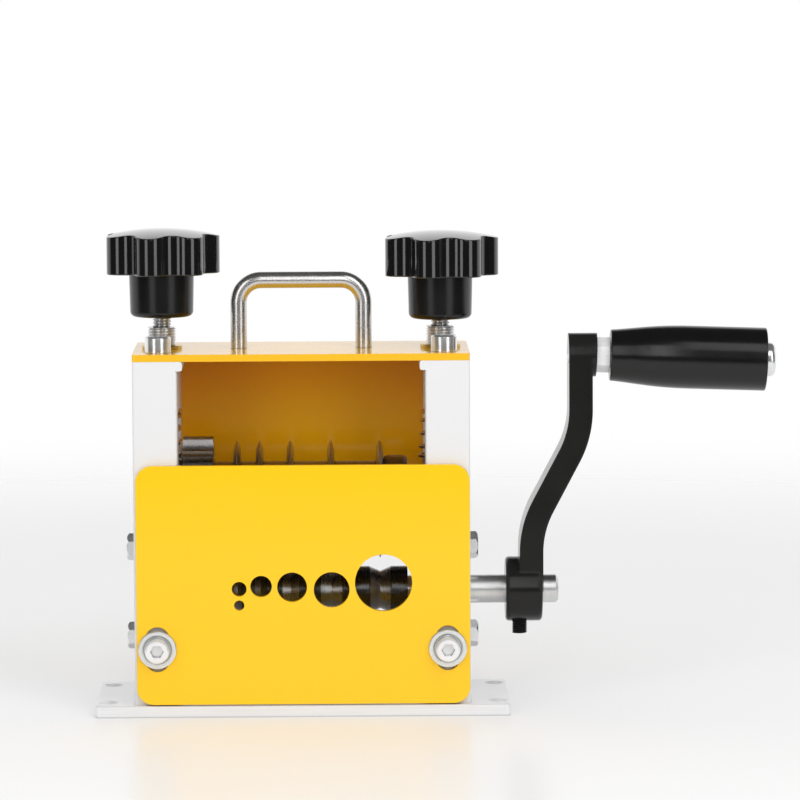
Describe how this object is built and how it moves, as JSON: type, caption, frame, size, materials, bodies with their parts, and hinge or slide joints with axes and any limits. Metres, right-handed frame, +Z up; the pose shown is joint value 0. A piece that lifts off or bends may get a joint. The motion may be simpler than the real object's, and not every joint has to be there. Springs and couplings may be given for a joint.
{
  "type": "hand crank wire stripper",
  "caption": "Bench wire stripper with a hand crank, a grooved feed roller, round blades above it on a geared shaft, height knobs and a holed front guide plate",
  "frame": {"origin": "middle of the four base mounting holes, on the underside of the base plate", "axes": "+X along the shafts towards the crank, +Y from the front guide plate to the back, +Z up"},
  "size_m": [0.289, 0.076, 0.204],
  "materials": {
    "base_aluminium": "anodised, satin",
    "silver_paint": "fine textured silver paint",
    "yellow_paint": "smooth gloss powder coat",
    "bright_steel": "bright zinc plate",
    "stainless": "polished stainless rod",
    "turned_steel": "turned and ground steel",
    "blade_steel": "ground tool steel",
    "gear_steel": "milled steel, lightly oiled",
    "bearing_bronze": "sintered bronze",
    "spring_steel": "drawn spring wire",
    "black_casting": "satin black paint on a casting",
    "black_plastic": "moulded gloss black",
    "black_screw": "black oxide"
  },
  "bodies": {
    "frame": {"base_plate": "base_aluminium", "base_screws": "bright_steel", "left_side_frame": "silver_paint", "right_side_frame": "silver_paint", "top_plate": "yellow_paint", "top_plate_screws": "bright_steel", "back_plate": "yellow_paint", "back_plate_screws": "bright_steel", "carry_handle": "stainless", "carry_handle_nuts": "bright_steel", "left_screw_bush": "bright_steel", "right_screw_bush": "bright_steel", "left_lower_bearing": "bearing_bronze", "right_lower_bearing": "bearing_bronze", "side_bolts": "bright_steel", "front_plate_screws": "bright_steel", "front_plate_washers": "bright_steel"},
    "guide_plate": {"front_plate": "yellow_paint"},
    "carriage": {"left_bearing_block": "gear_steel", "right_bearing_block": "gear_steel", "left_blade_bush": "bearing_bronze", "right_blade_bush": "bearing_bronze", "left_spring": "spring_steel", "right_spring": "spring_steel"},
    "blade_rotor": {"blade_shaft": "turned_steel", "upper_gear": "gear_steel", "upper_gear_key": "gear_steel", "blade_1": "blade_steel", "blade_2": "blade_steel", "blade_3": "blade_steel", "blade_4": "blade_steel", "blade_5": "blade_steel", "blade_sleeve_1": "turned_steel", "blade_sleeve_2": "turned_steel", "blade_sleeve_3": "turned_steel", "blade_sleeve_4": "turned_steel", "blade_sleeve_5": "turned_steel", "blade_lock_nut": "turned_steel", "blade_shaft_spacer": "turned_steel"},
    "crank_rotor": {"crank_shaft": "turned_steel", "lower_gear": "gear_steel", "lower_gear_key": "gear_steel", "feed_roller": "turned_steel", "feed_roller_pin": "turned_steel", "crank_shaft_collar": "turned_steel", "crank_arm": "black_casting", "crank_set_screw": "black_screw", "handle_bolt": "bright_steel", "handle_jam_nut": "bright_steel"},
    "grip": {"handle_grip": "black_plastic"},
    "left_knob_screw": {"left_knob": "black_plastic", "left_adjusting_screw": "bright_steel"},
    "right_knob_screw": {"right_knob": "black_plastic", "right_adjusting_screw": "bright_steel"}
  },
  "joints": [
    {"name": "left_knob_turn", "type": "hinge", "parent": "carriage", "child": "left_knob_screw", "pos_m": [-0.059, 0, 0.105], "axis": [0, 0, 1], "range_deg": [-720, 720]},
    {"name": "right_knob_turn", "type": "hinge", "parent": "carriage", "child": "right_knob_screw", "pos_m": [0.059, 0, 0.105], "axis": [0, 0, 1], "range_deg": [-720, 720]},
    {"name": "blade_height", "type": "slide", "parent": "frame", "child": "carriage", "axis": [0, 0, 1], "range_m": [-0.0025, 0.0025], "deforming": ["left_spring", "right_spring"]},
    {"name": "crank_turn", "type": "hinge", "parent": "frame", "child": "crank_rotor", "pos_m": [0, 0, 0.0493], "axis": [1, 0, 0], "continuous": true},
    {"name": "blade_turn", "type": "hinge", "parent": "carriage", "child": "blade_rotor", "pos_m": [0, 0, 0.0883], "axis": [1, 0, 0], "continuous": true},
    {"name": "grip_spin", "type": "hinge", "parent": "crank_rotor", "child": "grip", "pos_m": [0.1252, 0, 0.1493], "axis": [0.9995, 0, -0.0332], "continuous": true},
    {"name": "guide_plate_height", "type": "slide", "parent": "frame", "child": "guide_plate", "axis": [0, 0, 1], "range_m": [0, 0.006]}
  ],
  "couplings": [
    {"joint": "left_knob_turn", "follows": "blade_height", "rad_per_m": 5026.5},
    {"joint": "right_knob_turn", "follows": "blade_height", "rad_per_m": 5026.5},
    {"joint": "blade_turn", "follows": "crank_turn", "ratio": -0.625}
  ]
}
